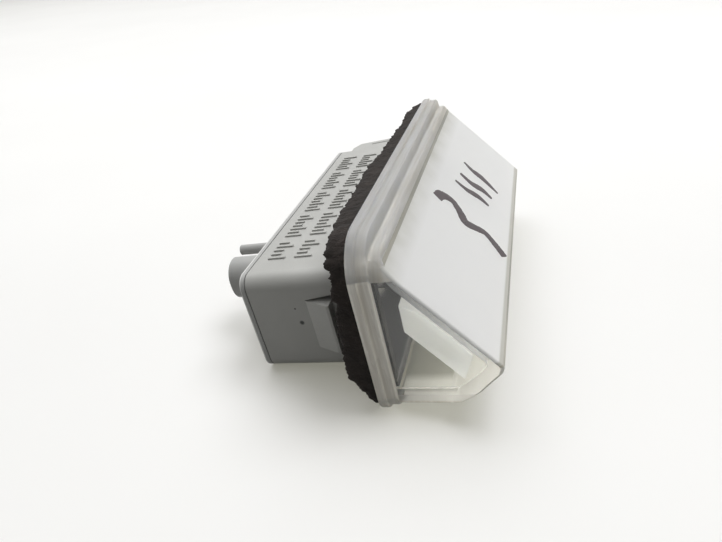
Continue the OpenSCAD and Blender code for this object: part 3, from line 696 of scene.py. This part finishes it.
# Plain pen strokes on the window: each is a list of (place along Y, distance down the window, width)
STROKES = [
    [(18.0, 8.2, 0.9), (17.2, 11.0, 1.9), (17.5, 14.0, 2.4), (16.4, 18.9, 0.9)],
    [(10.8, 8.0, 1.2), (10.4, 11.5, 2.1), (11.6, 14.5, 2.2), (11.2, 17.4, 1.1)],
    [(5.6, 7.3, 0.9), (5.6, 10.6, 1.7), (6.8, 13.9, 2.0), (6.6, 16.9, 0.9)],
    [(-7.6, 4.6, 2.4), (-5.2, 5.4, 2.6), (-4.2, 8.0, 2.2), (-6.2, 10.4, 2.4), (-8.2, 12.0, 2.6),
     (-7.2, 14.6, 2.2), (-6.2, 17.0, 2.0), (-7.6, 20.0, 2.3), (-9.2, 22.4, 2.4)],
]
# A stroke's section as (share of half the width, lift in mm), its lift over the window, its steps
# between two places, and the shares of the width that are left at its ends and by which it varies
STROKE_SECTION = ((-1, 0.0), (-0.6, 0.02), (0.6, 0.02), (1, 0.0))
STROKE_LIFT = 0.004
STROKE_STEPS = 14
STROKE_END = 0.25
STROKE_VARIES = 0.12


# Points of a smooth curve through the given ones, each with three values
def spline(points, steps):
    out = []
    for i in range(len(points) - 1):
        p = [points[max(0, i - 1)], points[i], points[i + 1], points[min(len(points) - 1, i + 2)]]
        for s in range(steps):
            t = s / steps
            w = (-0.5 * t + t * t - 0.5 * t ** 3, 1 - 2.5 * t * t + 1.5 * t ** 3,
                 0.5 * t + 2 * t * t - 1.5 * t ** 3, -0.5 * t * t + 0.5 * t ** 3)
            out.append(tuple(sum(w[k] * p[k][a] for k in range(4)) for a in range(3)))
    out.append(points[-1])
    return out


def build_strokes(material):
    run = Vector((TIP[0] - ROOT[0], 0, TIP[1] - ROOT[1])).normalized()
    out = Vector((-run.z, 0, run.x))
    base = Vector((ROOT[0], 0, ROOT[1]))
    verts, faces = [], []

    def place(y, s, lift):
        p = base + run * s + out * lift
        return (p.x, y, p.z)

    width = len(STROKE_SECTION)
    for stroke in STROKES:
        pts = spline(stroke, STROKE_STEPS)
        start = len(verts)
        last = len(pts) - 1
        for i, (y, s, w) in enumerate(pts):
            a, b = pts[max(0, i - 1)], pts[min(last, i + 1)]
            d = Vector((b[0] - a[0], b[1] - a[1])).normalized()
            side = Vector((-d.y, d.x)) * w / 2 * (STROKE_END if i in (0, last) else 1)
            rough = 1 + STROKE_VARIES * noise.noise(Vector((y * 2, s * 2, 1)))
            for f, lift in STROKE_SECTION:
                verts.append(place(y + side.x * f * rough, s + side.y * f * rough, lift + STROKE_LIFT))
        for i in range(last):
            for k in range(width - 1):
                a = start + i * width + k
                faces.append((a, a + 1, a + width + 1, a + width))
    return mesh_piece("pen_strokes", verts, faces, [material])


# Gives its material to a node that keeps its shape
def paint(name, material):
    mesh = nodes[name].data
    mesh.materials.clear()
    mesh.materials.append(material)


# 1 on rays from the camera and on those that a surface mirrors or lets through, 0 on the others
def seen_rays(nt):
    path = node(nt, "ShaderNodeLightPath").outputs
    kinds = ("Is Camera Ray", "Is Glossy Ray", "Is Transmission Ray")
    return combine(nt, "MAXIMUM", *(path[kind] for kind in kinds))


# How far the rim's and the rear cover's lower edges lie under the axis and how far back the cover's is,
# and the gap under the rim, all in mm, and the floor's half length in metres
RIM_FOOT, COVER_FOOT, COVER_BACK = 16.2, 12.5, 23.7
FLOOR_GAP = 0.05
FLOOR_SIZE = 2.5
# Emission of the floor on seen rays, and the world's strength on the other and on the seen rays
FLOOR_GLOW = 0.2
WORLD_LIGHT, WORLD_SEEN = 0.17, 0.9


# Floor under the lamp as it lies: it touches the rim's lower edge and the rear cover's lower edge
def build_floor():
    slope = math.atan2(RIM_FOOT - COVER_FOOT, COVER_BACK)
    mesh = bpy.data.meshes.new("floor")
    bm = bmesh.new()
    bmesh.ops.create_grid(bm, x_segments=1, y_segments=1, size=FLOOR_SIZE)
    bm.to_mesh(mesh)
    bm.free()
    floor = bpy.data.objects.new("floor", mesh)
    bpy.context.scene.collection.objects.link(floor)
    place = Vector((0, 0, -RIM_FOOT - FLOOR_GAP)) * MM
    floor.matrix_world = Matrix.Translation(place) @ Matrix.Rotation(slope, 4, "Y")
    m, nt = new_material("table_white")
    seen = seen_rays(nt)
    cloud = noise_of(nt, coords(nt), 9, 3)
    pale = ramp(nt, cloud, [(0.3, (0.69, 0.69, 0.71)), (0.7, (0.72, 0.72, 0.74))])
    mix = node(nt, "ShaderNodeMix", {"Factor": seen}, data_type="RGBA")
    mix.inputs["A"].default_value = (0.22, 0.22, 0.21, 1)
    nt.links.new(pale, mix.inputs["B"])
    board = principled(nt, {"Base Color": mix.outputs["Result"]}, Roughness=0.7)
    gain = node(nt, "ShaderNodeMath", {0: seen}, operation="MULTIPLY")
    gain.inputs[1].default_value = FLOOR_GLOW
    glow = node(nt, "ShaderNodeEmission", {"Strength": gain.outputs[0]}, Color=(1, 0.98, 0.80, 1))
    both = node(nt, "ShaderNodeAddShader", {0: board, 1: glow.outputs[0]})
    output(nt, both.outputs[0])
    mesh.materials.append(m)


# A rectangular lamp that points at the origin, with its place and size in metres and its power in watts
def area_light(name, place, size, power):
    data = bpy.data.lights.new(name, "AREA")
    data.shape = "RECTANGLE"
    data.size, data.size_y = size
    data.energy = power
    obj = bpy.data.objects.new(name, data)
    bpy.context.scene.collection.objects.link(obj)
    obj.location = Vector(place)
    obj.rotation_euler = (-Vector(place)).to_track_quat("-Z", "Y").to_euler()


def build_light():
    world = bpy.data.worlds.new("studio")
    bpy.context.scene.world = world
    world.use_nodes = True
    nt = world.node_tree
    nt.nodes.clear()
    level = node(nt, "ShaderNodeMapRange", {"Value": seen_rays(nt)})
    sockets(level, To_Min=WORLD_LIGHT, To_Max=WORLD_SEEN)
    back = node(nt, "ShaderNodeBackground", {"Strength": level.outputs[0]}, Color=(1, 1, 0.99, 1))
    node(nt, "ShaderNodeOutputWorld", {"Surface": back.outputs[0]})
    area_light("key", (-0.2, 0.6, 1.05), (1.45, 1.2), 11.4)
    area_light("fill", (0.35, 0.15, 0.65), (0.4, 0.4), 2.75)
    area_light("side", (-0.6, -0.2, 0.25), (0.3, 0.3), 0.35)


set_camera()
build_floor()
build_light()

# The lens, its zones in tones that follow the photo
CREAM, CREAM_LOW = (1.0, 0.98, 0.93), (0.96, 0.94, 0.89)
clear = clear_plastic("lens_clear", tint=(0.965, 0.97, 0.945), rough=0.09)
rim_back = clear_plastic("lens_rim_back", tint=(0.90, 0.89, 0.84), rough=0.25)
window = frosted("lens_frosted")
haze = hazy("lens_haze", (0.97, 0.94, 0.88), (0.76, 0.72, 0.64), 0.55, (0.3, 0.75), (0.75, 0.74, 0.69))
soft = hazy("lens_soft", (0.97, 0.96, 0.93), (0.92, 0.91, 0.87), 0.9, (0.4, 0.5), (0.94, 0.94, 0.93),
            deep=0.0)
# The window's inner face darkens towards the housing in a painted shade
under = hazy("lens_under", (0.64, 0.64, 0.62), (0.56, 0.56, 0.55), 0.4, (0.4, 0.5), (0.94, 0.94, 0.94),
             deep=0.0, painted_shade=("X", 19.0, 5.0, (0.04, 0.043, 0.045, 1)))
chin = hazy("lens_chin", CREAM, CREAM_LOW, 0.2, (0.4, 0.5), (0.22, 0.22, 0.16), deep=0.0)
# The flat foot darkens away from its near end in a painted shade
foot = hazy("lens_foot", CREAM, CREAM_LOW, 0.2, (0.4, 0.5), (0.3, 0.3, 0.24), deep=0.0,
            painted_shade=("Y", -35.5, -33.5, (0.42, 0.41, 0.35, 1)))
near = hazy("lens_rim_near", (1.0, 0.97, 0.89), (0.72, 0.68, 0.60), 0.03, (0.2, 0.35), (0.6, 0.59, 0.54),
            deep=0.0)
# The dark band: darker and browner in the groove above the window, and a painted shade on the window's
# rounded tip
dark_band = hazy("lens_dark_band", (0.52, 0.50, 0.43), (0.34, 0.33, 0.28), 0.2, (0.3, 0.4),
              (0.5, 0.5, 0.45))
lens = build_lens([clear, window, rim_back, haze, dark_band, soft, under, chin, near, foot])
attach(lens, "root")
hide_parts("lens")

foam = build_foam(foam_material("foam_black"))
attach(foam, "root")
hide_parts("foam_gasket")

strokes = build_strokes(plain("pen_ink", (0.065, 0.045, 0.050), 0.4, vary=0.35))
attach(strokes, "root")

# The nodes that keep their shape
shell_grey = moulded("shell_grey", (0.46, 0.46, 0.44), (0.41, 0.41, 0.39),
                     spots=[((-13.7, -33.9, -2.0), 0.42), ((-14.2, -33.9, 1.0), 0.16)])
cover_grey = moulded("cover_grey", (0.44, 0.44, 0.43), (0.39, 0.39, 0.38))
paint("housing", shell_grey)
paint("rear_cover", cover_grey)
paint("cover_seal", plain("seal_dark", (0.26, 0.26, 0.25), 0.7, vary=0.6))
# The sealant's dark tone is painted shade, where the bead lies in the shadow under the tongue
paint("lens_sealant", plain("sealant_painted_shade", (0.20, 0.19, 0.17), 0.5))
paint("diffuser", opal_plastic("opal_white"))
paint("gasket_film", plain("film_paper", (0.50, 0.47, 0.40), 0.6))
paint("bulb_holder", plain("holder_cream", (0.62, 0.61, 0.56), 0.5, vary=0.06))
paint("bulb_glass", clear_plastic("bulb_clear", tint=(0.97, 0.98, 0.98), rough=0.02, wear=0.03))
brass = plain("brass", (0.72, 0.56, 0.28), 0.35, metal=1.0)
bronze = plain("spring_bronze", (0.70, 0.55, 0.33), 0.3, metal=1.0)
steel = plain("rivet_steel", (0.56, 0.55, 0.53), 0.35, metal=1.0)
wire = plain("bulb_wire", (0.45, 0.44, 0.42), 0.4, metal=1.0)
for sign in ("positive", "negative"):
    paint("terminal_" + sign, brass)
    paint("contact_" + sign, bronze)
    paint("rivet_" + sign, steel)
for name in ("bulb_filament", "lead_wire_upper", "lead_wire_lower"):
    paint(name, wire)

bpy.context.scene.view_settings.view_transform = "Standard"
